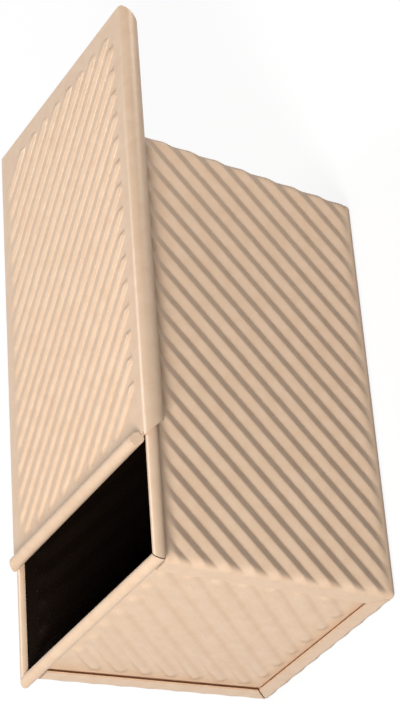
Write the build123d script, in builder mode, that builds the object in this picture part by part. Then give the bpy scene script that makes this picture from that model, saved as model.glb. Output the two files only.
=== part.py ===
from build123d import *
from math import atan2, ceil, cos, hypot, pi, radians, sin, sqrt, tan
import os

# Pullman loaf pan of ridged coated steel, with a lid that slides on its long rims.
# The origin is the middle of the base, where its ridges rest. X runs along the pan,
# Y across it and Z up. The lid stands part open towards +X.

# Pan, over all
rim_length = 212.0
rim_width = 126.0
pan_height = 116.5
end_lean = 6.0
side_lean = 4.5

# Steel
sheet = 0.8
fold_radius = 2.6

# Rolled rim and the wire inside it
wire_diameter = 3.4
wire_room = 0.1
rim_wrap_angle = 292.0
mitre_gap = 0.5

# Lips of the body that hold the end panels, and the flange that they fold over
lip_width = 9.0
lip_drop = 6.8
flange_depth = 1.6
corner_slit = 0.6

# Ridges of the body
ridge_slant = 45.0
ridge_pitch = 8.8
ridge_depth = 1.3
ridge_radius = 1.8
rest_flat_depth = 0.12
ridge_flange_gap = 0.3
ridge_fold_margin = 3.0
ridge_rim_margin = 9.0

# Ribs of the end panels
panel_rib_pitch = 9.0
panel_rib_foot = 5.6
panel_rib_height = 1.0
panel_rib_margin = 2.6
rib_flank_angle = 40.0
rib_end_facets = 4

# Lid
lid_rest_gap = 0.3
lid_start = -50.0
lid_end = 168.0
channel_radius = 4.6
channel_side_gap = 2.0
channel_wrap_angle = 185.0
channel_cutback = 8.0
lid_rib_pitch = 8.75
lid_rib_foot = 4.6
lid_rib_height = 1.1
lid_rib_side_margin = 15.3
lid_rib_end_margin = 9.5

# Roll along the near end of the lid, and the relief notches beside it
grip_roll_radius = 2.8
grip_roll_wrap_angle = 290.0
grip_roll_reach = 1.2
grip_roll_inset = 5.2
notch_width = 1.0
notch_depth = 1.8

overrun = 20.0

# Sizes that follow from those above
curl_inner = wire_diameter / 2 + wire_room
curl_outer = curl_inner + sheet
rim_z = pan_height - curl_outer
rim_x = rim_length / 2 - curl_outer
rim_y = rim_width / 2 - curl_outer
panel_depth = sheet + flange_depth
side_at_rim = rim_y - curl_inner
end_at_rim = rim_x - curl_inner + panel_depth
flank_angle = atan2(2 * ridge_depth, ridge_pitch)
crest_radius = ridge_radius + sheet / 2
valley_radius = ridge_radius - sheet / 2
crest_rounding = crest_radius * (1 / cos(flank_angle) - 1)
valley_rounding = valley_radius * (1 / cos(flank_angle) - 1)
wave_height = ridge_depth + crest_rounding + valley_rounding
base_z = wave_height / 2 - crest_rounding - rest_flat_depth
wall_rise = rim_z - base_z
end_slope = hypot(end_lean, wall_rise) / wall_rise
side_slope = hypot(side_lean, wall_rise) / wall_rise
lid_underside = pan_height + lid_rest_gap
lid_top = lid_underside + sheet
lid_half_width = rim_width / 2 + channel_side_gap
channel_y = lid_half_width - channel_radius
channel_z = lid_top - channel_radius


def half_length(z):
    """Half the outside length of the folded body at a height."""
    return end_at_rim - end_lean * (rim_z - z) / wall_rise


def half_width(z):
    """Half the outside width of the folded body at a height."""
    return side_at_rim - side_lean * (rim_z - z) / wall_rise


def side_face(side, depth=0):
    """Plane at a depth behind the outside of a long wall: x to the right and y up, from outside."""
    return Plane(origin=(0, side * (half_width(base_z) - depth), base_z), x_dir=(-side, 0, 0),
                 z_dir=(0, side * wall_rise, -side_lean))


def end_face(side, depth=0):
    """Plane at a depth behind the outside of an end: x to the right and y up, from outside."""
    return Plane(origin=(side * (half_length(base_z) - depth), 0, base_z), x_dir=(0, side, 0),
                 z_dir=(side * wall_rise, 0, -end_lean))


base_face = Plane(origin=(0, 0, base_z), x_dir=(1, 0, 0), z_dir=(0, 0, -1))


def tapered_block(end_inset, side_inset, foot_z, head_z, radius):
    """The outside form of the body, drawn in by insets, from one height to another."""
    with BuildPart() as block:
        with BuildSketch(Plane.XY.offset(foot_z)):
            Rectangle(2 * rim_length, 2 * rim_width)
        extrude(amount=head_z - foot_z)
        for side in (-1, 1):
            split(bisect_by=end_face(side, end_inset), keep=Keep.BOTTOM)
            split(bisect_by=side_face(side, side_inset), keep=Keep.BOTTOM)
        head_edges = block.edges().group_by(Axis.Z)[-1]
        fillet(block.edges() - head_edges, radius)
    return block.part


def slice_of(form, side, near, far):
    """The part of a form between two depths behind the outside of an end."""
    with BuildPart() as piece:
        add(form)
        split(bisect_by=end_face(side, far), keep=Keep.TOP)
        split(bisect_by=end_face(side, near), keep=Keep.BOTTOM)
    return piece.part


def ridged_sheet(face, middle, outline):
    """A sheet with slanting ridges, a crest through its middle, cut to an outline on a face.

    Its outside is rounded along each crest and valley. Inside, the creases are sharp.
    """
    lean = radians(ridge_slant)
    along = face.x_dir * cos(lean) + face.y_dir * sin(lean)
    across = face.y_dir * cos(lean) - face.x_dir * sin(lean)
    reach = max(hypot(x, y - middle) for x, y in outline)
    start = face.origin + face.y_dir * middle - along * reach
    steps = 2 * ceil(reach / ridge_pitch) + 1
    outer, inner, radii = [], [], []
    for turn in range(-steps, steps + 1):
        crest = turn % 2 == 0
        rise = wave_height / 2 if crest else -wave_height / 2
        outer.append((turn * ridge_pitch / 2, rise))
        inner.append((turn * ridge_pitch / 2, rise - sheet))
        radii.append(crest_radius if crest else valley_radius)
    with BuildPart() as ridged:
        with BuildSketch(Plane(origin=start, x_dir=across, z_dir=along)):
            with BuildLine():
                FilletPolyline(*outer, radius=radii[1:-1])
                Polyline(outer[-1], *reversed(inner), outer[0])
            make_face()
        extrude(amount=2 * reach)
        with BuildSketch(face):
            Polygon(*outline, align=None)
        extrude(amount=overrun, both=True, mode=Mode.INTERSECT)
    return ridged.part


def side_outline():
    """Corners of the ridged part of a long wall, on its face."""
    foot = ridge_fold_margin
    head = (pan_height - ridge_rim_margin - base_z) * side_slope
    low = half_length(base_z) - panel_depth - sheet - ridge_flange_gap
    high = half_length(pan_height - ridge_rim_margin) - half_length(base_z) + low
    return [(-low, foot), (low, foot), (high, head), (-high, head)]


def base_outline():
    """Corners of the ridged part of the base, on its face."""
    x = half_length(base_z) - panel_depth - sheet - ridge_flange_gap
    y = half_width(base_z) - ridge_fold_margin
    return [(-x, -y), (x, -y), (x, y), (-x, y)]


def end_outline(inset, foot, head_z):
    """Corners of a field on an end, drawn in from the long walls and the base."""
    head = (head_z - base_z) * end_slope
    low = half_width(base_z + foot / end_slope) - inset
    high = half_width(head_z) - inset
    return [(-low, foot), (low, foot), (high, head), (-high, head)]


def rib_lines(outline, slant, pitch):
    """Centre lines of slanting ribs across an outline, each as its middle and length."""
    field = make_face(Polyline(*outline, close=True))
    reach = field.bounding_box().diagonal
    along = Vector(reach, 0).rotate(Axis.Z, slant)
    count = ceil(reach / pitch)
    lines = []
    for turn in range(-count, count + 1):
        middle = field.center() + Vector(turn * pitch / sin(radians(slant)), 0)
        for edge in field.intersect(Edge.make_line(middle - along, middle + along)) or []:
            if edge.length > pitch:
                lines.append((edge.center(), edge.length))
    return lines


def rib_slots(lines, slant, width):
    """Draw a slot with faceted round ends along each rib in the sketch that is open."""
    turns = [pi * step / rib_end_facets for step in range(rib_end_facets + 1)]
    for middle, length in lines:
        cap = [((length + width * sin(turn)) / 2, -width * cos(turn) / 2) for turn in turns]
        with Locations(middle):
            Polygon(*cap, *[(-x, -y) for x, y in cap], rotation=slant, align=None)


def hollow_foot(foot):
    """Width of the hollow under a rib, at the back of its sheet."""
    lean = radians(rib_flank_angle)
    return foot - 2 * sheet * (1 / cos(lean) - tan(lean))


def rolled_rim(origin, outward, half_run):
    """A sheet rolled round the rim wire, along one side of the pan, with mitred ends."""
    plan = Plane(origin=origin, x_dir=outward, z_dir=(0, 0, 1))
    mitre = half_run - mitre_gap / sqrt(2)
    with BuildPart() as roll:
        with BuildSketch(Plane(origin=origin, x_dir=outward, z_dir=-plan.y_dir)):
            with BuildLine():
                CenterArc((0, 0), (curl_inner + curl_outer) / 2, 180, -rim_wrap_angle)
            trace(line_width=sheet)
        extrude(amount=half_run, both=True)
        with BuildSketch(plan):
            Polygon((curl_outer + sheet, mitre + sheet), (curl_outer + sheet, -mitre - sheet),
                    (-curl_outer - sheet, 2 * curl_outer + sheet - mitre),
                    (-curl_outer - sheet, mitre - 2 * curl_outer - sheet), align=None)
        extrude(amount=2 * curl_outer, both=True, mode=Mode.INTERSECT)
    return roll.part


outer_form = tapered_block(0, 0, base_z, rim_z, fold_radius)
hollow_form = tapered_block(sheet, sheet, base_z + sheet, rim_z + overrun, fold_radius - sheet)
seat_form = tapered_block(sheet, sheet, base_z + sheet, rim_z, fold_radius - sheet)
pocket_form = tapered_block(-overrun, 2 * sheet, base_z + 2 * sheet, rim_z + overrun,
                            fold_radius - 2 * sheet)
ridged_sheets = [ridged_sheet(side_face(side), wall_rise / 2, side_outline()) for side in (-1, 1)]
ridged_sheets.append(ridged_sheet(base_face, 0, base_outline()))
side_rolls = [
    rolled_rim((0, side * rim_y, rim_z), (0, side, 0), rim_length / 2) for side in (-1, 1)
]
lip_head_z = pan_height - lip_drop

os.makedirs("parts", exist_ok=True)

# Body sheet: the base and both long walls are one ridged sheet. Its ends fold over the
# end panels as lips, and its top edges roll round the rim wire.
with BuildPart() as body_sheet:
    add(outer_form)
    add(hollow_form, mode=Mode.SUBTRACT)
    for side in (-1, 1):
        with BuildSketch(end_face(side)):
            Polygon(*end_outline(lip_width, lip_width, rim_z + overrun), align=None)
        extrude(amount=2 * fold_radius, both=True, mode=Mode.SUBTRACT)
        with BuildSketch(end_face(side)):
            Polygon(*end_outline(-overrun, (lip_head_z - base_z) * end_slope, rim_z + overrun),
                    align=None)
        extrude(amount=fold_radius, both=True, mode=Mode.SUBTRACT)
        with BuildSketch(end_face(side)):
            for corner in (-1, 1):
                slit_x = corner * (half_width(base_z) - lip_width / 2 - sheet)
                with Locations((slit_x, lip_width / 2 + sheet)):
                    Rectangle(lip_width * sqrt(2), corner_slit, rotation=-45 * corner)
        extrude(amount=fold_radius, both=True, mode=Mode.SUBTRACT)
        with BuildSketch(side_face(side)):
            Polygon(*side_outline(), align=None)
        extrude(amount=2 * sheet, both=True, mode=Mode.SUBTRACT)
    with BuildSketch(base_face):
        Polygon(*base_outline(), align=None)
    extrude(amount=2 * sheet, both=True, mode=Mode.SUBTRACT)
    for piece in ridged_sheets + side_rolls:
        add(piece)
    with BuildSketch(Plane.XY.offset(-overrun)):
        Rectangle(rim_length, rim_width)
    extrude(amount=overrun, mode=Mode.SUBTRACT)
body_sheet.part.label = "body_sheet"
export_step(body_sheet.part, "parts/body_sheet.step")

# End panels: each is a ribbed plate whose flange is caught inside the lips of the body.
# Its top edge rolls round the rim wire, mitred to the long rims.
for side, name in ((-1, "near_end_panel"), (1, "far_end_panel")):
    plate = slice_of(seat_form, side, sheet, panel_depth + sheet)
    pocket = slice_of(pocket_form, side, 0, panel_depth)
    end_roll = rolled_rim((side * rim_x, 0, rim_z), (side, 0, 0), rim_width / 2)
    rib_inset = lip_width + panel_rib_margin + panel_rib_foot / 2
    rib_head_z = pan_height - ridge_rim_margin - panel_rib_foot / 2
    ribs = rib_lines(end_outline(rib_inset, rib_inset, rib_head_z), ridge_slant, panel_rib_pitch)
    with BuildPart() as end_panel:
        add(plate)
        add(pocket, mode=Mode.SUBTRACT)
        with BuildSketch(end_face(side, panel_depth)):
            Polygon(*end_outline(-overrun, (lip_head_z - base_z) * end_slope, rim_z + overrun),
                    align=None)
        extrude(amount=overrun, mode=Mode.SUBTRACT)
        add(end_roll)
        with BuildSketch(end_face(side, panel_depth)):
            rib_slots(ribs, ridge_slant, panel_rib_foot)
        extrude(amount=panel_rib_height, taper=rib_flank_angle)
        with BuildSketch(end_face(side, panel_depth + sheet)):
            rib_slots(ribs, ridge_slant, hollow_foot(panel_rib_foot))
        extrude(amount=panel_rib_height, taper=rib_flank_angle, mode=Mode.SUBTRACT)
    end_panel.part.label = name
    export_step(end_panel.part, f"parts/{name}.step")

# Rim wire: one closed loop inside the rolled rims
with BuildPart() as rim_wire:
    with BuildLine():
        Polyline((-rim_x, 0, rim_z), (-rim_x, -rim_y, rim_z), (rim_x, -rim_y, rim_z),
                 (rim_x, rim_y, rim_z), (-rim_x, rim_y, rim_z), close=True)
    with BuildSketch(Plane(origin=(-rim_x, 0, rim_z), z_dir=(0, -1, 0))):
        Circle(wire_diameter / 2)
    sweep(transition=Transition.RIGHT)
rim_wire.part.label = "rim_wire"
export_step(rim_wire.part, "parts/rim_wire.step")

# Lid: a ribbed sheet with its long edges curled round the rims as channels, and its near
# end curled up into a roll. Its ribs slant the other way from those of the pan.
rib_start = lid_start + lid_rib_end_margin + lid_rib_foot / 2
rib_end = lid_end - lid_rib_end_margin - lid_rib_foot / 2
rib_reach = lid_half_width - lid_rib_side_margin - lid_rib_foot / 2
lid_ribs = rib_lines([(rib_start, -rib_reach), (rib_end, -rib_reach),
                      (rib_end, rib_reach), (rib_start, rib_reach)], -ridge_slant, lid_rib_pitch)
channel_foot = lid_top - 2 * channel_radius
roll_half = channel_y - grip_roll_inset
with BuildPart() as lid:
    with BuildSketch(Plane.YZ.offset(lid_start)):
        with BuildLine():
            for side in (-1, 1):
                CenterArc((side * channel_y, channel_z), channel_radius - sheet / 2,
                          90, -side * channel_wrap_angle)
            Line((-channel_y, lid_top - sheet / 2), (channel_y, lid_top - sheet / 2))
        trace(line_width=sheet)
    extrude(amount=lid_end - lid_start)
    with BuildSketch(Plane.XZ):
        for end, inward in ((lid_start, 1), (lid_end, -1)):
            Polygon((end - inward * overrun, lid_underside), (end, lid_underside),
                    (end + inward * channel_cutback, channel_foot),
                    (end + inward * channel_cutback, channel_foot - overrun),
                    (end - inward * overrun, channel_foot - overrun), align=None)
    extrude(amount=rim_width, both=True, mode=Mode.SUBTRACT)
    with BuildSketch(Plane.XZ):
        with BuildLine():
            Line((lid_start, lid_top - sheet / 2), (lid_start - grip_roll_reach, lid_top - sheet / 2))
            CenterArc((lid_start - grip_roll_reach, lid_underside + grip_roll_radius),
                      grip_roll_radius - sheet / 2, -90, -grip_roll_wrap_angle)
        trace(line_width=sheet)
    extrude(amount=roll_half, both=True)
    with BuildSketch(Plane.XY.offset(lid_underside)):
        for notch_y in (roll_half + notch_width / 2, channel_y):
            with Locations((lid_start, notch_y), (lid_start, -notch_y)):
                Rectangle(2 * notch_depth, notch_width)
    extrude(amount=sheet, mode=Mode.SUBTRACT)
    with BuildSketch(Plane.XY.offset(lid_top)):
        rib_slots(lid_ribs, -ridge_slant, lid_rib_foot)
    extrude(amount=lid_rib_height, taper=rib_flank_angle)
    with BuildSketch(Plane.XY.offset(lid_underside)):
        rib_slots(lid_ribs, -ridge_slant, hollow_foot(lid_rib_foot))
    extrude(amount=lid_rib_height, taper=rib_flank_angle, mode=Mode.SUBTRACT)
lid.part.label = "lid"
export_step(lid.part, "parts/lid.step")
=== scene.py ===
"""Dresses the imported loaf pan: pressed ridges, coated steel, and a plain pale studio."""
import math

import bmesh
import bpy
from mathutils import Matrix, Vector


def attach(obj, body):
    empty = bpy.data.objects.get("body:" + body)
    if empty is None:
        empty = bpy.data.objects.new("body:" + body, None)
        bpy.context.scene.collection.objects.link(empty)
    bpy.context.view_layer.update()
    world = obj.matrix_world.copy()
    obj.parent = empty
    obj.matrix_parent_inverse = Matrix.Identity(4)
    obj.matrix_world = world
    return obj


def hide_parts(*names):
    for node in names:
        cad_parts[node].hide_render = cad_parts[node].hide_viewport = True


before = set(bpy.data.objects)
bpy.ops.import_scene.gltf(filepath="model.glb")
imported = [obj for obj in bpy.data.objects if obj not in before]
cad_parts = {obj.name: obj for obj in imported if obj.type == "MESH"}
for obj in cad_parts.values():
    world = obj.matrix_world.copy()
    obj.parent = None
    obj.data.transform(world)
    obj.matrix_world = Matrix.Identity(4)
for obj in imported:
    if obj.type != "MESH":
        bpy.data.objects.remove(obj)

bl_info = {
    "name": "Ridged loaf pan",
    "version": (1, 0, 0),
    "blender": (4, 5, 0),
    "location": "3D View > Sidebar > Loaf Pan",
    "description": "Presses the ridges of a lidded loaf pan and gives it its coat",
    "category": "Add Mesh",
}

MM = 0.001

WELD = 0.002 * MM  # corners nearer to each other than this are one
MERGE = 0.01 * MM  # the same for the points of a pressed field
TOUCH = 0.02 * MM  # faces this far past a field's edge still belong to it
CREASE = math.radians(32)  # edges that turn more than this stay sharp

# Sizes of the folded pan, which every pressed field has to meet
SHEET = 0.8 * MM
RIM_Z = 113.9 * MM
BASE_Z = 0.513 * MM
RISE = RIM_Z - BASE_Z
END_LEAN = 6.0 * MM
SIDE_LEAN = 4.5 * MM
END_AT_RIM = 104.0 * MM
SIDE_AT_RIM = 58.6 * MM
PANEL_DEPTH = 2.4 * MM
FOLD = 2.6 * MM
LID_TOP = 117.6 * MM


def half_length(z):
    """Half the outside length of the folded body at a height."""
    return END_AT_RIM - END_LEAN * (RIM_Z - z) / RISE


def half_width(z):
    """Half the outside width of the folded body at a height."""
    return SIDE_AT_RIM - SIDE_LEAN * (RIM_Z - z) / RISE


def face_place(origin, right, outward):
    """The matrix that lays a field drawn in X and Y, with +Z outwards, on a face of the pan."""
    out = Vector(outward).normalized()
    across = Vector(right).normalized()
    up = out.cross(across)
    turn = Matrix((across, up, out)).transposed().to_4x4()
    return Matrix.Translation(Vector(origin)) @ turn


def side_place(side):
    """The outside of a long wall."""
    return face_place((0, side * half_width(BASE_Z), BASE_Z), (-side, 0, 0),
                      (0, side * RISE, -SIDE_LEAN))


def end_place(side):
    """The outside of an end panel's plate, inside its flange."""
    return face_place((side * (half_length(BASE_Z) - PANEL_DEPTH), 0, BASE_Z), (0, side, 0),
                      (side * RISE, 0, -END_LEAN))


class PressedSteel(bpy.types.PropertyGroup):
    """Sizes of the ridges and ribs that are pressed into the sheet."""
    ridge_pitch: bpy.props.FloatProperty(
        name="Ridge pitch", description="Distance between two ridges of the pan, square to them",
        default=8.8 * MM, unit="LENGTH", subtype="DISTANCE")
    ridge_depth: bpy.props.FloatProperty(
        name="Ridge depth", description="Height of a ridge from valley to crest",
        default=1.3 * MM, unit="LENGTH", subtype="DISTANCE")
    ridge_crispness: bpy.props.FloatProperty(
        name="Ridge crispness",
        description="How flat the flanks are, from round at 0 to a fold at 1",
        default=0.975, min=0.05, max=0.999, subtype="FACTOR")
    ridge_run_out: bpy.props.FloatProperty(
        name="Ridge run-out", description="Length over which a ridge fades into the flat margin",
        default=4.2 * MM, unit="LENGTH", subtype="DISTANCE")
    panel_rib_pitch: bpy.props.FloatProperty(
        name="End rib pitch", description="Distance between two ribs of an end panel",
        default=8.75 * MM, unit="LENGTH", subtype="DISTANCE")
    panel_rib_foot: bpy.props.FloatProperty(
        name="End rib width", description="Width of an end panel's rib at its foot",
        default=7.4 * MM, unit="LENGTH", subtype="DISTANCE")
    panel_rib_height: bpy.props.FloatProperty(
        name="End rib height", description="Height of an end panel's rib",
        default=0.9 * MM, unit="LENGTH", subtype="DISTANCE")
    lid_rib_pitch: bpy.props.FloatProperty(
        name="Lid rib pitch", description="Distance between two ribs of the lid",
        default=8.75 * MM, unit="LENGTH", subtype="DISTANCE")
    lid_rib_foot: bpy.props.FloatProperty(
        name="Lid rib width", description="Width of a lid rib at its foot",
        default=4.6 * MM, unit="LENGTH", subtype="DISTANCE")
    lid_rib_height: bpy.props.FloatProperty(
        name="Lid rib height", description="Height of a lid rib",
        default=1.1 * MM, unit="LENGTH", subtype="DISTANCE")


def linear(text):
    """Turn an sRGB hex colour into linear red, green and blue."""
    shares = [int(text[place:place + 2], 16) / 255 for place in (1, 3, 5)]
    return [s / 12.92 if s <= 0.04045 else ((s + 0.055) / 1.055) ** 2.4 for s in shares]


class Finish(bpy.types.PropertyGroup):
    """Colours and gloss of the coat, with the near-black painted shade of the inside."""
    coat: bpy.props.FloatVectorProperty(
        name="Coat", description="Champagne gold coat on the outside",
        default=linear("#e3c6aa"), min=0, max=1, subtype="COLOR")
    coat_shade: bpy.props.FloatVectorProperty(
        name="Coat mottle", description="Slightly darker tone that mottles the coat",
        default=linear("#dcbc9e"), min=0, max=1, subtype="COLOR")
    # The inside colour is painted shade: the cavity's coat is drawn near black to stand in for the
    # shade deep inside it.
    inside: bpy.props.FloatVectorProperty(
        name="Inside", description="Darker release coat inside the pan",
        default=linear("#1c130d"), min=0, max=1, subtype="COLOR")
    wire: bpy.props.FloatVectorProperty(
        name="Wire", description="Drawn steel of the rim wire",
        default=linear("#c9c6c2"), min=0, max=1, subtype="COLOR")


class Studio(bpy.types.PropertyGroup):
    """Levels of the studio light."""
    key: bpy.props.FloatProperty(
        name="Key", description="Power of the lamp that rakes the near wall",
        default=23.5, unit="POWER")
    fill: bpy.props.FloatProperty(
        name="Fill", description="Level of the even light from all round", default=0.08)
    top: bpy.props.FloatProperty(
        name="Top", description="Power of the lamp above and behind", default=9.0, unit="POWER")
    low: bpy.props.FloatProperty(
        name="Low", description="Power of the low lamp beside the far part of the near wall",
        default=0.5, unit="POWER")


def add_node(tree, kind, inputs=None, **settings):
    """Add a node, with its settings, and set or link its inputs by name or number."""
    made = tree.nodes.new(kind)
    for name, value in settings.items():
        setattr(made, name, value)
    for key, value in (inputs or {}).items():
        if isinstance(value, bpy.types.Node):
            value = value.outputs[0]
        if isinstance(value, bpy.types.NodeSocket):
            tree.links.new(value, made.inputs[key])
        else:
            made.inputs[key].default_value = value
    return made


def empty_tree(owner):
    """The shader tree of a new material or world, without its first nodes."""
    owner.use_nodes = True
    owner.node_tree.nodes.clear()
    return owner.node_tree


MOTTLE = 6.0 * MM
GRAIN = 0.9 * MM
GRAIN_HEIGHT = 0.1 * MM
GRAIN_GLOSS = 0.05  # how far the grain moves the roughness either way
PEARL = 0.03  # how metallic the coat is


def coated_steel(name, base, shade, shine, roughness):
    """Steel sheet with a sprayed and baked non-stick coat.

    The coat is satin, with a trace of metal in it, a faint mottle a few millimetres wide
    from the spray, and a grain under a millimetre, drawn coarser than the real one so that
    it shows. shine is the level of its clear reflection.
    """
    material = bpy.data.materials.new(name)
    tree = empty_tree(material)
    place = add_node(tree, "ShaderNodeTexCoord")
    mottle = add_node(tree, "ShaderNodeTexNoise", {
        "Vector": place.outputs["Object"], "Scale": 1 / MOTTLE, "Detail": 3.0,
        "Roughness": 0.55})
    grain = add_node(tree, "ShaderNodeTexNoise", {
        "Vector": place.outputs["Object"], "Scale": 1 / GRAIN, "Detail": 2.0,
        "Roughness": 0.7})
    spread = add_node(tree, "ShaderNodeMapRange", {
        "Value": mottle, "From Min": 0.35, "From Max": 0.65, "To Min": 0.0, "To Max": 0.7})
    speck = add_node(tree, "ShaderNodeMapRange", {
        "Value": grain, "From Min": 0.3, "From Max": 0.7, "To Min": 0.0, "To Max": 0.3})
    both = add_node(tree, "ShaderNodeMath", {0: spread, 1: speck}, operation="ADD")
    tone = add_node(tree, "ShaderNodeMix", {0: both, 6: (*base, 1), 7: (*shade, 1)},
                    data_type="RGBA")
    gloss = add_node(tree, "ShaderNodeMapRange", {
        "Value": grain, "From Min": 0.3, "From Max": 0.7,
        "To Min": roughness - GRAIN_GLOSS, "To Max": roughness + GRAIN_GLOSS})
    bump = add_node(tree, "ShaderNodeBump", {
        "Strength": 0.12, "Distance": GRAIN_HEIGHT, "Height": grain})
    shader = add_node(tree, "ShaderNodeBsdfPrincipled", {
        "Base Color": tone.outputs[2], "Metallic": PEARL, "Roughness": gloss,
        "Specular IOR Level": shine, "Normal": bump})
    add_node(tree, "ShaderNodeOutputMaterial", {"Surface": shader})
    return material


DIE_LINES = 0.6 * MM  # width of the uneven places that the die leaves


def drawn_wire(name, colour):
    """Bare drawn steel wire, a little uneven in its gloss from the die."""
    material = bpy.data.materials.new(name)
    tree = empty_tree(material)
    place = add_node(tree, "ShaderNodeTexCoord")
    lines = add_node(tree, "ShaderNodeTexNoise", {
        "Vector": place.outputs["Object"], "Scale": 1 / DIE_LINES, "Detail": 2.0})
    gloss = add_node(tree, "ShaderNodeMapRange", {
        "Value": lines, "From Min": 0.3, "From Max": 0.7, "To Min": 0.28, "To Max": 0.42})
    shader = add_node(tree, "ShaderNodeBsdfPrincipled", {
        "Base Color": (*colour, 1), "Metallic": 1.0, "Roughness": gloss})
    add_node(tree, "ShaderNodeOutputMaterial", {"Surface": shader})
    return material


def finish_of(name):
    """A finish by name, made from the colours of the panel when it is first asked for."""
    made = bpy.data.materials.get(name)
    if made:
        return made
    colours = bpy.context.scene.pan_finish
    if name == "champagne_gold_coat":  # satin coat of the outside and of the whole lid
        return coated_steel(name, colours.coat, colours.coat_shade, shine=0.25, roughness=0.34)
    if name == "painted_shade_cavity_coat":  # glossier coat round the baking cavity, drawn near black as painted shade of the cavity
        return coated_steel(name, colours.inside, colours.inside, shine=0.7, roughness=0.3)
    return drawn_wire(name, colours.wire)


def new_tree(name, numbers):
    """A geometry tree with a float or whole-number input for each of its sizes."""
    tree = bpy.data.node_groups.new(name, "GeometryNodeTree")
    for size, kind in numbers.items():
        tree.interface.new_socket(name=size, in_out="INPUT", socket_type=kind)
    tree.interface.new_socket(name="Material", in_out="INPUT", socket_type="NodeSocketMaterial")
    tree.interface.new_socket(name="Geometry", in_out="OUTPUT", socket_type="NodeSocketGeometry")
    return tree


FIELD_INPUTS = {
    "Half Length": "NodeSocketFloat", "Widening": "NodeSocketFloat", "Height": "NodeSocketFloat",
    "Slant": "NodeSocketFloat", "Shift": "NodeSocketFloat", "Run": "NodeSocketFloat",
    "Columns": "NodeSocketInt", "Rows": "NodeSocketInt",
}


def slanted_grid(tree, given):
    """A grid whose columns follow the slant, drawn in at the ends of the field.

    Returns the grid, and for each point its x, its y, the half length there, and its place
    across the slanted columns.
    """
    grid = add_node(tree, "GeometryNodeMeshGrid", {
        "Size X": given.outputs["Run"], "Size Y": given.outputs["Height"],
        "Vertices X": given.outputs["Columns"], "Vertices Y": given.outputs["Rows"]})
    point = add_node(tree, "ShaderNodeSeparateXYZ", {
        0: add_node(tree, "GeometryNodeInputPosition")})
    y = point.outputs["Y"]
    half = add_node(tree, "ShaderNodeMath", {
        0: y, 1: given.outputs["Widening"], 2: given.outputs["Half Length"]},
        operation="MULTIPLY_ADD")
    lean = add_node(tree, "ShaderNodeMath", {
        0: y, 1: given.outputs["Slant"], 2: given.outputs["Shift"]}, operation="MULTIPLY_ADD")
    free = add_node(tree, "ShaderNodeMath", {0: point.outputs["X"], 1: lean}, operation="ADD")
    least = add_node(tree, "ShaderNodeMath", {0: half, 1: -1.0}, operation="MULTIPLY")
    x = add_node(tree, "ShaderNodeClamp", {"Value": free, "Min": least, "Max": half})
    across = add_node(tree, "ShaderNodeMath", {0: x, 1: lean}, operation="SUBTRACT")
    return grid, x, y, half, across


def close_tree(tree, given, grid, x, y, rise):
    """Lift the grid's points by the rise, and end the tree."""
    point = add_node(tree, "ShaderNodeCombineXYZ", {"X": x, "Y": y, "Z": rise})
    pressed = add_node(tree, "GeometryNodeSetPosition", {
        "Geometry": grid.outputs["Mesh"], "Position": point})
    merged = add_node(tree, "GeometryNodeMergeByDistance", {
        "Geometry": pressed, "Distance": MERGE})
    smooth = add_node(tree, "GeometryNodeSetShadeSmooth", {"Geometry": merged})
    real = add_node(tree, "GeometryNodeRealizeInstances", {"Geometry": smooth})
    finished = add_node(tree, "GeometryNodeSetMaterial", {
        "Geometry": real, "Material": given.outputs["Material"]})
    add_node(tree, "NodeGroupOutput", {"Geometry": finished})


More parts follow.
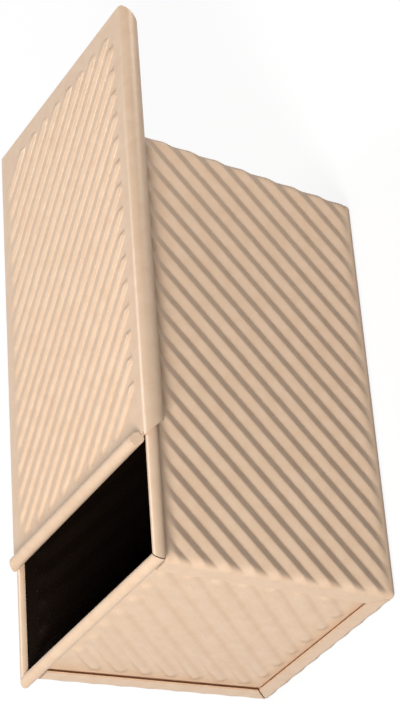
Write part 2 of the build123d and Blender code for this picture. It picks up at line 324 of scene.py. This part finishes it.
def ridge_tree():
    """Slanting ridges side by side over a whole wall, fading out at its margins."""
    tree = new_tree("Pressed ridges", {
        **FIELD_INPUTS, "Spacing": "NodeSocketFloat", "Depth": "NodeSocketFloat",
        "Crispness": "NodeSocketFloat", "Run Out": "NodeSocketFloat", "Fold": "NodeSocketFloat",
        "Lap": "NodeSocketFloat"})
    given = add_node(tree, "NodeGroupInput")
    grid, x, y, half, across = slanted_grid(tree, given)
    turns = add_node(tree, "ShaderNodeMath", {0: across, 1: given.outputs["Spacing"]},
                     operation="DIVIDE")
    phase = add_node(tree, "ShaderNodeMath", {0: turns, 1: 2 * math.pi}, operation="MULTIPLY")
    round_wave = add_node(tree, "ShaderNodeMath", {0: phase}, operation="COSINE")
    short_wave = add_node(tree, "ShaderNodeMath", {
        0: round_wave, 1: given.outputs["Crispness"]}, operation="MULTIPLY")
    flanks = add_node(tree, "ShaderNodeMath", {0: short_wave}, operation="ARCSINE")
    peak = add_node(tree, "ShaderNodeMath", {0: given.outputs["Crispness"]},
                    operation="ARCSINE")
    wave = add_node(tree, "ShaderNodeMath", {0: flanks, 1: peak}, operation="DIVIDE")
    half_depth = add_node(tree, "ShaderNodeMath", {0: given.outputs["Depth"], 1: 0.5},
                          operation="MULTIPLY")
    full = add_node(tree, "ShaderNodeMath", {0: wave, 1: half_depth}, operation="MULTIPLY")
    from_middle = add_node(tree, "ShaderNodeMath", {0: x}, operation="ABSOLUTE")
    to_end = add_node(tree, "ShaderNodeMath", {0: half, 1: from_middle}, operation="SUBTRACT")
    height = add_node(tree, "ShaderNodeMath", {0: y}, operation="ABSOLUTE")
    half_height = add_node(tree, "ShaderNodeMath", {0: given.outputs["Height"], 1: 0.5},
                           operation="MULTIPLY")
    to_edge = add_node(tree, "ShaderNodeMath", {0: half_height, 1: height},
                       operation="SUBTRACT")
    margin = add_node(tree, "ShaderNodeMath", {0: to_end, 1: to_edge}, operation="MINIMUM")
    fade = add_node(tree, "ShaderNodeMapRange", {
        "Value": margin, "From Max": given.outputs["Run Out"]}, interpolation_type="SMOOTHSTEP")
    rise = add_node(tree, "ShaderNodeMath", {0: full, 1: fade}, operation="MULTIPLY")
    # Past the flat of the field its sheet goes on round the fold, as an arc.
    flat = add_node(tree, "ShaderNodeMath", {0: half, 1: given.outputs["Lap"]},
                    operation="SUBTRACT")
    on_flat = add_node(tree, "ShaderNodeMath", {0: from_middle, 1: flat}, operation="MINIMUM")
    lapped = add_node(tree, "ShaderNodeMath", {0: from_middle, 1: on_flat},
                      operation="SUBTRACT")
    bend = add_node(tree, "ShaderNodeMath", {0: lapped, 1: given.outputs["Fold"]},
                    operation="DIVIDE")
    radius = add_node(tree, "ShaderNodeMath", {0: given.outputs["Fold"], 1: rise},
                      operation="ADD")
    sine = add_node(tree, "ShaderNodeMath", {0: bend}, operation="SINE")
    cosine = add_node(tree, "ShaderNodeMath", {0: bend}, operation="COSINE")
    reach = add_node(tree, "ShaderNodeMath", {0: radius, 1: sine, 2: on_flat},
                     operation="MULTIPLY_ADD")
    way = add_node(tree, "ShaderNodeMath", {0: x}, operation="SIGN")
    bent_x = add_node(tree, "ShaderNodeMath", {0: reach, 1: way}, operation="MULTIPLY")
    height_up = add_node(tree, "ShaderNodeMath", {0: radius, 1: cosine}, operation="MULTIPLY")
    bent_rise = add_node(tree, "ShaderNodeMath", {0: height_up, 1: given.outputs["Fold"]},
                         operation="SUBTRACT")
    close_tree(tree, given, grid, bent_x, y, bent_rise)
    return tree


def rib_tree():
    """Separate slanting ribs with round ends, each as long as the field lets it be."""
    tree = new_tree("Pressed ribs", {
        **FIELD_INPUTS, "Rib Half Length": "NodeSocketFloat", "Rib Half Height": "NodeSocketFloat",
        "Pitch": "NodeSocketFloat", "Foot": "NodeSocketFloat", "Head": "NodeSocketFloat",
        "Rib Height": "NodeSocketFloat"})
    given = add_node(tree, "NodeGroupInput")
    grid, x, y, _, across = slanted_grid(tree, given)
    root = math.sqrt(2)
    q = add_node(tree, "ShaderNodeMath", {0: across, 1: root}, operation="DIVIDE")
    shift = add_node(tree, "ShaderNodeMath", {0: given.outputs["Shift"], 1: root},
                     operation="DIVIDE")
    count = add_node(tree, "ShaderNodeMath", {0: q, 1: given.outputs["Pitch"]},
                     operation="DIVIDE")
    nearest = add_node(tree, "ShaderNodeMath", {0: count}, operation="ROUND")
    middle = add_node(tree, "ShaderNodeMath", {0: nearest, 1: given.outputs["Pitch"]},
                      operation="MULTIPLY")
    aside = add_node(tree, "ShaderNodeMath", {0: q, 1: middle}, operation="SUBTRACT")
    line = add_node(tree, "ShaderNodeMath", {0: middle, 1: shift}, operation="ADD")
    slanted_y = add_node(tree, "ShaderNodeMath", {0: y, 1: given.outputs["Slant"]},
                         operation="MULTIPLY")
    along_sum = add_node(tree, "ShaderNodeMath", {0: x, 1: slanted_y}, operation="ADD")
    along = add_node(tree, "ShaderNodeMath", {0: along_sum, 1: root}, operation="DIVIDE")
    # The line meets the field's ends where x is the half length there, and its long edges
    # where y is the half height.
    tilt = add_node(tree, "ShaderNodeMath", {
        0: given.outputs["Widening"], 1: given.outputs["Slant"]}, operation="MULTIPLY")
    more = add_node(tree, "ShaderNodeMath", {0: tilt, 1: 1.0}, operation="ADD")
    less = add_node(tree, "ShaderNodeMath", {0: 1.0, 1: tilt}, operation="SUBTRACT")
    long_reach = add_node(tree, "ShaderNodeMath", {
        0: given.outputs["Rib Half Length"], 1: root}, operation="MULTIPLY")
    high_reach = add_node(tree, "ShaderNodeMath", {
        0: given.outputs["Rib Half Height"], 1: root}, operation="MULTIPLY")
    line_more = add_node(tree, "ShaderNodeMath", {0: line, 1: more}, operation="MULTIPLY")
    line_less = add_node(tree, "ShaderNodeMath", {0: line, 1: less}, operation="MULTIPLY")
    far_room = add_node(tree, "ShaderNodeMath", {0: long_reach, 1: line_more},
                        operation="SUBTRACT")
    far_end = add_node(tree, "ShaderNodeMath", {0: far_room, 1: less}, operation="DIVIDE")
    far_edge = add_node(tree, "ShaderNodeMath", {0: high_reach, 1: line}, operation="ADD")
    far = add_node(tree, "ShaderNodeMath", {0: far_end, 1: far_edge}, operation="MINIMUM")
    near_room = add_node(tree, "ShaderNodeMath", {0: long_reach, 1: line_less},
                         operation="ADD")
    near_end = add_node(tree, "ShaderNodeMath", {0: near_room, 1: more}, operation="DIVIDE")
    near_turned = add_node(tree, "ShaderNodeMath", {0: near_end, 1: -1.0},
                           operation="MULTIPLY")
    near_edge = add_node(tree, "ShaderNodeMath", {0: line, 1: high_reach},
                         operation="SUBTRACT")
    near = add_node(tree, "ShaderNodeMath", {0: near_turned, 1: near_edge},
                    operation="MAXIMUM")
    held = add_node(tree, "ShaderNodeClamp", {"Value": along, "Min": near, "Max": far})
    past = add_node(tree, "ShaderNodeMath", {0: along, 1: held}, operation="SUBTRACT")
    away = add_node(tree, "ShaderNodeVectorMath", {
        0: add_node(tree, "ShaderNodeCombineXYZ", {"X": aside, "Y": past})},
        operation="LENGTH")
    half_foot = add_node(tree, "ShaderNodeMath", {0: given.outputs["Foot"], 1: 0.5},
                         operation="MULTIPLY")
    half_head = add_node(tree, "ShaderNodeMath", {0: given.outputs["Head"], 1: 0.5},
                         operation="MULTIPLY")
    swell = add_node(tree, "ShaderNodeMapRange", {
        "Value": away.outputs["Value"], "From Min": half_foot, "From Max": half_head,
        "To Min": 0.0, "To Max": given.outputs["Rib Height"]}, interpolation_type="SMOOTHSTEP")
    length = add_node(tree, "ShaderNodeMath", {0: far, 1: near}, operation="SUBTRACT")
    long_enough = add_node(tree, "ShaderNodeMath", {0: length, 1: given.outputs["Pitch"]},
                           operation="GREATER_THAN")
    rise = add_node(tree, "ShaderNodeMath", {0: swell, 1: long_enough}, operation="MULTIPLY")
    close_tree(tree, given, grid, x, y, rise)
    return tree


def press(name, tree, place, sizes, step, row_step):
    """Press a field of ridges or ribs, and return it as a plain mesh of sheet steel.

    step is the distance between the grid's columns, along the field, and row_step the
    distance between its rows.
    """
    reach = sizes["Half Length"] + abs(sizes["Widening"]) * sizes["Height"] / 2
    strips = 2 * math.ceil((reach + sizes["Height"] / 2 + abs(sizes["Shift"])) / step)
    sizes = {**sizes, "Run": strips * step, "Columns": strips + 1,
             "Rows": math.ceil(sizes["Height"] / row_step) + 1,
             "Material": finish_of("champagne_gold_coat")}
    carrier = bpy.data.objects.new(name, bpy.data.meshes.new(name))
    bpy.context.scene.collection.objects.link(carrier)
    pressing = carrier.modifiers.new("Press", "NODES")
    pressing.node_group = tree
    for socket in tree.interface.items_tree:
        if socket.in_out == "INPUT":
            pressing[socket.identifier] = sizes[socket.name]
    wall = carrier.modifiers.new("Sheet", "SOLIDIFY")
    wall.thickness = SHEET
    wall.offset = -1
    wall.use_even_offset = True
    wall.use_rim = False
    evaluated = carrier.evaluated_get(bpy.context.evaluated_depsgraph_get())
    plain = bpy.data.meshes.new_from_object(evaluated)
    carrier.modifiers.clear()
    carrier.data = plain
    plain.materials.clear()
    plain.materials.append(finish_of("champagne_gold_coat"))
    # the second finish is the near-black painted shade of the cavity
    plain.materials.append(finish_of("painted_shade_cavity_coat"))
    plain.transform(place)
    return carrier


INSIDE_TOP = 114.3 * MM  # the painted shade of the cavity ends here, on the rim
PANEL_RISE = 1.0 * MM  # room for the hollows of the end panels' ribs
FACES_END = 0.7  # a face turned this much along X, up or inwards counts as facing that way
FACES_UP = 0.5
FACES_IN = 0.3


def is_inner(place, side):
    """Whether a point of the pan's sheet, with its normal, faces the baking cavity."""
    plate = half_length(place.z) - PANEL_DEPTH
    if place.z > INSIDE_TOP:
        return False
    if abs(side.x) > FACES_END:
        return side.x * place.x < 0 and abs(place.x) < plate + PANEL_RISE
    if abs(place.x) > plate or abs(place.y) > half_width(place.z):
        return False
    return side.z > FACES_UP or side.y * math.copysign(1, place.y) < -FACES_IN


def paint_cavity_shade(mesh):
    """Give the faces round the baking cavity the second finish of the mesh, the near-black painted
    shade of the cavity.
    """
    for face in mesh.polygons:
        face.material_index = int(is_inner(face.center, face.normal))


def folded_copy(node, name, cuts, is_pressed):
    """A merged copy of a node's sheet without the field that is pressed separately.

    cuts are planes, each a point and a normal, along which the sheet is divided before the
    faces that is_pressed names go.
    """
    work = bmesh.new()
    work.from_mesh(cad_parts[node].data)
    bmesh.ops.remove_doubles(work, verts=work.verts, dist=WELD)
    for point, normal in cuts:
        bmesh.ops.bisect_plane(work, geom=work.verts[:] + work.edges[:] + work.faces[:],
                               plane_co=point, plane_no=normal, dist=WELD)
    gone = [face for face in work.faces if is_pressed(face)]
    bmesh.ops.delete(work, geom=gone, context="FACES")
    mesh = bpy.data.meshes.new(name)
    work.to_mesh(mesh)
    work.free()
    carried = mesh.attributes.get("custom_normal")
    if carried:
        mesh.attributes.remove(carried)
    mesh.shade_smooth()
    mesh.set_sharp_from_angle(angle=CREASE)
    mesh.materials.clear()
    mesh.materials.append(finish_of("champagne_gold_coat"))
    # the second finish is the near-black painted shade of the cavity
    mesh.materials.append(finish_of("painted_shade_cavity_coat"))
    for face in mesh.polygons:
        face.material_index = 0
    made = bpy.data.objects.new(name, mesh)
    bpy.context.scene.collection.objects.link(made)
    even = made.modifiers.new("Even shading", "WEIGHTED_NORMAL")
    even.keep_sharp = True
    plain = bpy.data.meshes.new_from_object(
        made.evaluated_get(bpy.context.evaluated_depsgraph_get()))
    made.modifiers.clear()
    made.data = plain
    return made


RIDGE_FOOT = 3.0 * MM  # the ridges start this far from the fold between base and wall
RIDGE_HEAD_Z = 108.7 * MM
WAVE = 1.6 * MM  # the CAD's ridges stand less than this off the wall
SIDE_BEND = math.radians(90)
BASE_BEND = math.radians(90) - math.atan(END_LEAN / RISE)
RIDGE_COLUMNS = 20  # columns of the grid for each ridge
RIDGE_ROW = 1.5 * MM


def side_field():
    """Low and high half length, foot and head of the ridged part of a long wall, on its face.

    The half lengths are measured round the folds at its ends.
    """
    lap = FOLD * (SIDE_BEND - 1)
    head = (RIDGE_HEAD_Z - BASE_Z) * math.hypot(SIDE_LEAN, RISE) / RISE
    foot_z = BASE_Z + RIDGE_FOOT * RISE / math.hypot(SIDE_LEAN, RISE)
    return half_length(foot_z) + lap, half_length(RIDGE_HEAD_Z) + lap, RIDGE_FOOT, head


def in_side_field(face):
    """Whether a face of the body lies in the ridged part of a long wall or its folds."""
    foot, head = side_field()[2:]
    for side in (-1, 1):
        back = side_place(side).inverted()
        spots = [back @ corner.co for corner in face.verts]
        if all(foot - TOUCH < y < head + TOUCH and -FOLD - TOUCH < z < WAVE
               for x, y, z in spots):
            return True
    return False


def in_base_field(face):
    """Whether a face of the body lies in the ridged part of the base or its folds."""
    y = half_width(BASE_Z) - RIDGE_FOOT + TOUCH
    return all(abs(c.co.y) < y and c.co.z < BASE_Z + FOLD for c in face.verts)


class PAN_OT_press_body(bpy.types.Operator):
    """Fold the body sheet, and press the ridges of its base and long walls"""
    bl_idname = "pan.press_body"
    bl_label = "Press body"

    def execute(self, context):
        steel = context.scene.pan_steel
        low, high, foot, head = side_field()
        cuts = [((0, side * (half_width(BASE_Z) - RIDGE_FOOT), 0), (0, 1, 0))
                for side in (-1, 1)]
        for side in (-1, 1):
            place = side_place(side)
            cuts += [(place @ Vector((0, height, 0)), place.to_3x3() @ Vector((0, 1, 0)))
                     for height in (foot, head)]
        body = folded_copy("body_sheet", "folded_body", cuts,
                           lambda face: in_side_field(face) or in_base_field(face))
        tree = ridge_tree()
        spacing = steel.ridge_pitch * math.sqrt(2)
        shared = {"Spacing": spacing, "Depth": steel.ridge_depth, "Slant": 1.0,
                  "Crispness": steel.ridge_crispness, "Run Out": steel.ridge_run_out,
                  "Fold": FOLD}
        fields = []
        middle = (foot + head) / 2
        for side, name in ((-1, "near_wall_ridges"), (1, "far_wall_ridges")):
            sizes = {**shared, "Half Length": (low + high) / 2, "Height": head - foot,
                     "Widening": (high - low) / (head - foot), "Shift": middle - RISE / 2,
                     "Lap": FOLD * SIDE_BEND}
            place = side_place(side) @ Matrix.Translation((0, middle, 0))
            fields.append(press(name, tree, place, sizes, spacing / RIDGE_COLUMNS,
                                RIDGE_ROW))
        # The base's ridges are only so deep that their crests stay above the table.
        flat = half_length(BASE_Z) - FOLD * math.tan(BASE_BEND / 2)
        sizes = {**shared, "Half Length": flat + FOLD * BASE_BEND, "Lap": FOLD * BASE_BEND,
                 "Height": 2 * (half_width(BASE_Z) - RIDGE_FOOT), "Widening": 0.0, "Shift": 0.0,
                 "Depth": min(steel.ridge_depth, 2 * (BASE_Z - TOUCH))}
        place = face_place((0, 0, BASE_Z), (1, 0, 0), (0, 0, -1))
        fields.append(press("base_ridges", tree, place, sizes, spacing / RIDGE_COLUMNS,
                            RIDGE_ROW))
        for piece in [body] + fields:
            paint_cavity_shade(piece.data)
            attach(piece, "pan")
        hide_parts("body_sheet")
        return {"FINISHED"}


LIP = 9.0 * MM
RIB_MARGIN = 1.0 * MM
FIELD_MARGIN = 0.6 * MM  # flat sheet round the ribs that belongs to their field
PANEL_HEAD_Z = 107.5 * MM
PANEL_RIB_HEAD = 0.2  # share of a rib's foot that its flat head takes
PANEL_BAND = 2.0 * MM  # the CAD's ribs lie within this of the plate's face
PANEL_COLUMNS = 16  # columns of the grid for each rib
PANEL_ROW = 1.2 * MM


class PAN_OT_press_ends(bpy.types.Operator):
    """Press the ribs of the two end panels"""
    bl_idname = "pan.press_ends"
    bl_label = "Press end panels"

    def execute(self, context):
        steel = context.scene.pan_steel
        tree = rib_tree()
        slope = math.hypot(END_LEAN, RISE) / RISE
        inset = LIP + RIB_MARGIN + steel.panel_rib_foot / 2
        head_z = PANEL_HEAD_Z - steel.panel_rib_foot / 2
        head = (head_z - BASE_Z) * slope
        low = half_width(BASE_Z + inset / slope) - inset
        high = half_width(head_z) - inset
        height = head - inset
        rise_of_centre = height / 3 * (low + 2 * high) / (low + high) - height / 2
        edge = steel.panel_rib_foot / 2 + FIELD_MARGIN
        widening = (high - low) / height
        sizes = {
            "Half Length": (low + high) / 2 + edge, "Widening": widening,
            "Height": height + 2 * edge, "Slant": 1.0, "Shift": -rise_of_centre,
            "Rib Half Length": (low + high) / 2, "Rib Half Height": height / 2,
            "Pitch": steel.panel_rib_pitch, "Foot": steel.panel_rib_foot,
            "Head": steel.panel_rib_foot * PANEL_RIB_HEAD,
            "Rib Height": steel.panel_rib_height}
        for side, end in ((-1, "near"), (1, "far")):
            place = end_place(side) @ Matrix.Translation((0, inset + height / 2, 0))
            turn = place.to_3x3()
            cuts = [(place @ Vector((0, up * (height / 2 + edge), 0)), turn @ Vector((0, 1, 0)))
                    for up in (-1, 1)]
            cuts += [(place @ Vector((across * ((low + high) / 2 + edge), 0, 0)),
                      turn @ Vector((1, -across * widening, 0))) for across in (-1, 1)]
            back = place.inverted()

            def is_pressed(face):
                for corner in face.verts:
                    x, y, z = back @ corner.co
                    half = (low + high) / 2 + edge + widening * y
                    if (abs(x) > half + TOUCH or abs(y) > height / 2 + edge + TOUCH
                            or abs(z) > PANEL_BAND):
                        return False
                return True

            panel = folded_copy(f"{end}_end_panel", f"{end}_panel_frame", cuts, is_pressed)
            ribs = press(f"{end}_panel_ribs", tree, place, sizes,
                         steel.panel_rib_pitch * math.sqrt(2) / PANEL_COLUMNS, PANEL_ROW)
            for piece in (panel, ribs):
                paint_cavity_shade(piece.data)
                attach(piece, "pan")
            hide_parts(f"{end}_end_panel")
        return {"FINISHED"}


LID_START = -50.0 * MM
LID_END = 168.0 * MM
LID_HALF_WIDTH = 65.0 * MM
LID_SIDE_MARGIN = 10.4 * MM
LID_END_MARGIN = 9.5 * MM
FLANK = math.tan(math.radians(40))  # run of a lid rib's flank for each unit of its height
LID_COLUMNS = 18  # columns of the grid for each rib
LID_ROW = 1.6 * MM

# The roll along the near edge of the lid, and the slant of its ends
GRIP_RADIUS = 2.8 * MM
GRIP_X = LID_START - 1.2 * MM
GRIP_Z = LID_TOP - SHEET + GRIP_RADIUS
GRIP_END = 55.1 * MM
GRIP_FOOT_END = 60.0 * MM
GRIP_HEAD_END = 56.4 * MM
GRIP_EDGE = 0.5 * MM  # bevel of the closed ends
GRIP_STEPS = 32


def roll_end(side):
    """The closed end of the lid's roll, which slants back from the channel to its top."""
    work = bmesh.new()
    rings = [[], []]
    for step in range(GRIP_STEPS):
        turn = 2 * math.pi * step / GRIP_STEPS
        x = GRIP_X + GRIP_RADIUS * math.sin(turn)
        z = GRIP_Z - GRIP_RADIUS * math.cos(turn)
        share = (1 - math.cos(turn)) / 2
        end = GRIP_FOOT_END + (GRIP_HEAD_END - GRIP_FOOT_END) * share
        rings[0].append(work.verts.new((x, side * GRIP_END, z)))
        rings[1].append(work.verts.new((x, side * end, z)))
    for step in range(GRIP_STEPS):
        nearer, further = rings[0][step - 1], rings[0][step]
        work.faces.new((nearer, further, rings[1][step], rings[1][step - 1]))
    cap = work.faces.new(rings[1])
    bmesh.ops.bevel(work, geom=list(cap.edges), offset=GRIP_EDGE, segments=3, affect="EDGES")
    bmesh.ops.recalc_face_normals(work, faces=work.faces)
    mesh = bpy.data.meshes.new("roll_end")
    work.to_mesh(mesh)
    work.free()
    mesh.shade_smooth()
    mesh.set_sharp_from_angle(angle=CREASE)
    mesh.materials.append(finish_of("champagne_gold_coat"))
    name = "near_side_roll_end" if side < 0 else "far_side_roll_end"
    made = bpy.data.objects.new(name, mesh)
    bpy.context.scene.collection.objects.link(made)
    return made


class PAN_OT_press_lid(bpy.types.Operator):
    """Press the ribs of the lid, between its curled channels"""
    bl_idname = "pan.press_lid"
    bl_label = "Press lid"

    def execute(self, context):
        steel = context.scene.pan_steel
        start = LID_START + LID_END_MARGIN + steel.lid_rib_foot / 2
        end = LID_END - LID_END_MARGIN - steel.lid_rib_foot / 2
        reach = LID_HALF_WIDTH - LID_SIDE_MARGIN - steel.lid_rib_foot / 2
        edge = steel.lid_rib_foot / 2 + FIELD_MARGIN
        middle = (start + end) / 2
        long = (end - start) / 2 + edge
        wide = reach + edge
        cuts = [((middle + way * long, 0, 0), (1, 0, 0)) for way in (-1, 1)]
        cuts += [((0, way * wide, 0), (0, 1, 0)) for way in (-1, 1)]
        lid = folded_copy("lid", "lid_frame", cuts, lambda face: all(
            abs(c.co.x - middle) < long + TOUCH and abs(c.co.y) < wide + TOUCH
            for c in face.verts))
        sizes = {
            "Half Length": long, "Widening": 0.0, "Height": 2 * wide, "Slant": -1.0,
            "Shift": 0.0, "Rib Half Length": (end - start) / 2, "Rib Half Height": reach,
            "Pitch": steel.lid_rib_pitch, "Foot": steel.lid_rib_foot,
            "Head": steel.lid_rib_foot - 2 * steel.lid_rib_height * FLANK,
            "Rib Height": steel.lid_rib_height}
        ribs = press("lid_ribs", rib_tree(), Matrix.Translation((middle, 0, LID_TOP)), sizes,
                     steel.lid_rib_pitch * math.sqrt(2) / LID_COLUMNS, LID_ROW)
        for piece in [lid, ribs] + [roll_end(side) for side in (-1, 1)]:
            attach(piece, "lid")
        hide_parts("lid")
        return {"FINISHED"}


class PAN_OT_finish_wire(bpy.types.Operator):
    """Give the rim wire its bare drawn finish"""
    bl_idname = "pan.finish_wire"
    bl_label = "Finish rim wire"

    def execute(self, context):
        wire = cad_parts["rim_wire"]
        wire.data.materials.clear()
        wire.data.materials.append(finish_of("bare_drawn_wire"))
        return {"FINISHED"}


def seen_directly(tree):
    """A node that gives 1 to the camera, a reflection or clear glass, and 0 to other light."""
    path = add_node(tree, "ShaderNodeLightPath")
    seen = add_node(tree, "ShaderNodeMath", {
        0: path.outputs["Is Camera Ray"], 1: path.outputs["Is Glossy Ray"]},
        operation="MAXIMUM")
    return add_node(tree, "ShaderNodeMath", {
        0: seen, 1: path.outputs["Is Transmission Ray"]}, operation="MAXIMUM")


def pale_room(fill):
    """A world that looks white and gives the object only the even fill light."""
    world = bpy.data.worlds.new("pale_room")
    tree = empty_tree(world)
    level = add_node(tree, "ShaderNodeMapRange", {
        "Value": seen_directly(tree), "To Min": fill, "To Max": 1.0})
    sky = add_node(tree, "ShaderNodeBackground", {"Color": (1, 1, 1, 1), "Strength": level})
    add_node(tree, "ShaderNodeOutputWorld", {"Surface": sky})
    return world


FLOOR_REACH = 6.0
FLOOR_Z = -0.1 * MM
PAPER = 0.15  # share of the lamps' light that the paper gives back
PAPER_GLOW = 0.88  # what the camera sees on top of that, so that the floor looks white


def pale_floor():
    """A floor of pale paper, which looks white outside the object's soft shadow."""
    mesh = bpy.data.meshes.new("floor")
    corners = [(x * FLOOR_REACH, y * FLOOR_REACH, 0)
               for x, y in ((-1, -1), (1, -1), (1, 1), (-1, 1))]
    mesh.from_pydata(corners, [], [(0, 1, 2, 3)])
    floor = bpy.data.objects.new("floor", mesh)
    floor.location.z = FLOOR_Z
    bpy.context.scene.collection.objects.link(floor)
    paper = bpy.data.materials.new("pale_paper")
    tree = empty_tree(paper)
    matt = add_node(tree, "ShaderNodeBsdfDiffuse", {"Color": (PAPER, PAPER, PAPER, 1)})
    lift = add_node(tree, "ShaderNodeMath", {0: seen_directly(tree), 1: PAPER_GLOW},
                    operation="MULTIPLY")
    glow = add_node(tree, "ShaderNodeEmission", {"Color": (1, 1, 1, 1), "Strength": lift})
    both = add_node(tree, "ShaderNodeAddShader", {0: matt, 1: glow})
    add_node(tree, "ShaderNodeOutputMaterial", {"Surface": both})
    mesh.materials.append(paper)


AIM = (0, 0, 0.06)  # the lamps are turned to this point


def square_lamp(name, power, size, place):
    """A square area lamp that is turned to the middle of the pan."""
    lamp = bpy.data.lights.new(name, "AREA")
    lamp.shape = "SQUARE"
    lamp.size = size
    lamp.energy = power
    holder = bpy.data.objects.new(name, lamp)
    holder.location = place
    way = Vector(AIM) - Vector(place)
    holder.rotation_euler = way.to_track_quat("-Z", "Y").to_euler()
    holder.visible_camera = False
    bpy.context.scene.collection.objects.link(holder)


# The camera that was solved from the photograph: its focal length in pixels of a picture
# 702 high, its place, and its axes
FOCAL_PIXELS = 2547.3
PICTURE_HEIGHT = 702
SENSOR = 36
EYE = (-0.55739, -0.82419, 0.54181)
EYE_RIGHT = (-0.06604, -0.47341, -0.87836)
EYE_UP = (0.84615, -0.49312, 0.20215)
EYE_BACK = (-0.52884, -0.72987, 0.43314)


def photo_camera():
    """The camera at the photograph's angle."""
    camera = bpy.data.cameras.new("camera")
    camera.sensor_width = SENSOR
    camera.lens = FOCAL_PIXELS / PICTURE_HEIGHT * SENSOR
    camera.clip_start = 0.05
    camera.clip_end = 50
    eye = bpy.data.objects.new("camera", camera)
    turn = Matrix((EYE_RIGHT, EYE_UP, EYE_BACK)).transposed().to_4x4()
    eye.matrix_world = Matrix.Translation(EYE) @ turn
    bpy.context.scene.collection.objects.link(eye)
    return eye


class PAN_OT_set_studio(bpy.types.Operator):
    """Set up the pale floor, the soft light and the camera"""
    bl_idname = "pan.set_studio"
    bl_label = "Set studio"

    def execute(self, context):
        scene = context.scene
        levels = scene.pan_studio
        scene.world = pale_room(levels.fill)
        pale_floor()
        square_lamp("key_lamp", levels.key, 0.5, (-1.13, -0.61, 0.73))
        square_lamp("top_lamp", levels.top, 0.5, (0.60, 0.52, 1.27))
        square_lamp("low_lamp", levels.low, 0.2, (0.31, -0.22, 0.02))
        scene.camera = photo_camera()
        scene.view_settings.view_transform = "Standard"
        return {"FINISHED"}


STEPS = (PAN_OT_press_body, PAN_OT_press_ends, PAN_OT_press_lid, PAN_OT_finish_wire,
         PAN_OT_set_studio)


class PAN_PT_loaf_pan(bpy.types.Panel):
    """Sizes, colours and steps of the loaf pan"""
    bl_label = "Loaf Pan"
    bl_idname = "PAN_PT_loaf_pan"
    bl_space_type = "VIEW_3D"
    bl_region_type = "UI"
    bl_category = "Loaf Pan"

    def draw(self, context):
        for group in (context.scene.pan_steel, context.scene.pan_finish,
                      context.scene.pan_studio):
            column = self.layout.column()
            for name in group.__annotations__:
                column.prop(group, name)
        for step in STEPS:
            self.layout.operator(step.bl_idname)


CLASSES = (PressedSteel, Finish, Studio) + STEPS + (PAN_PT_loaf_pan,)


def register():
    for kind in CLASSES:
        bpy.utils.register_class(kind)
    bpy.types.Scene.pan_steel = bpy.props.PointerProperty(type=PressedSteel)
    bpy.types.Scene.pan_finish = bpy.props.PointerProperty(type=Finish)
    bpy.types.Scene.pan_studio = bpy.props.PointerProperty(type=Studio)


def unregister():
    del bpy.types.Scene.pan_studio
    del bpy.types.Scene.pan_finish
    del bpy.types.Scene.pan_steel
    for kind in reversed(CLASSES):
        bpy.utils.unregister_class(kind)


def main():
    """Make the pan and its studio."""
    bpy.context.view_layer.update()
    register()
    bpy.ops.pan.press_body()
    bpy.ops.pan.press_ends()
    bpy.ops.pan.press_lid()
    bpy.ops.pan.finish_wire()
    bpy.ops.pan.set_studio()


if __name__ == "__main__":
    main()
